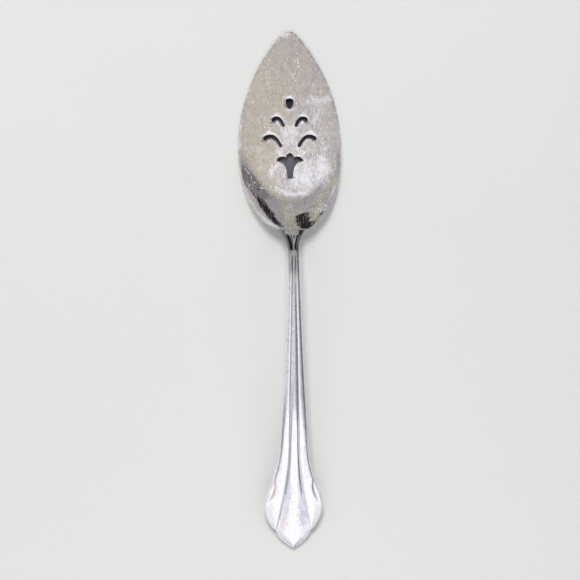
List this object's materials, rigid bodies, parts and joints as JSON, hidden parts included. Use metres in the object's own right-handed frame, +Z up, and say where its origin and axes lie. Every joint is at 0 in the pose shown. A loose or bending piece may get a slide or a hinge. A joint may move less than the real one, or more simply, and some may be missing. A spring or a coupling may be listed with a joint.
{
  "type": "pie server",
  "caption": "Silver-plated pie server: leaf-shaped blade with a dished back and a pierced palmette, brazed to a reeded flat handle that widens to a shield end.",
  "frame": {"origin": "on the table plane under the middle of the whole length, on the server's middle line", "axes": "+Y along the server to the blade's tip, +Z up out of the dished and reeded top face, +X to the right seen from above with the tip away"},
  "size_m": [0.0526, 0.26, 0.0156],
  "materials": {
    "blade_plate": "silver plate on nickel silver, worn, fine scratches and a hazy patch round the piercing",
    "handle_plate": "silver plate on nickel silver, polished, fine scratches, darker in the grooves",
    "braze_metal": "silver brazing alloy, plated over with the rest"
  },
  "bodies": {
    "root": {"blade": "blade_plate", "handle": "handle_plate", "braze": "braze_metal"}
  },
  "joints": []
}
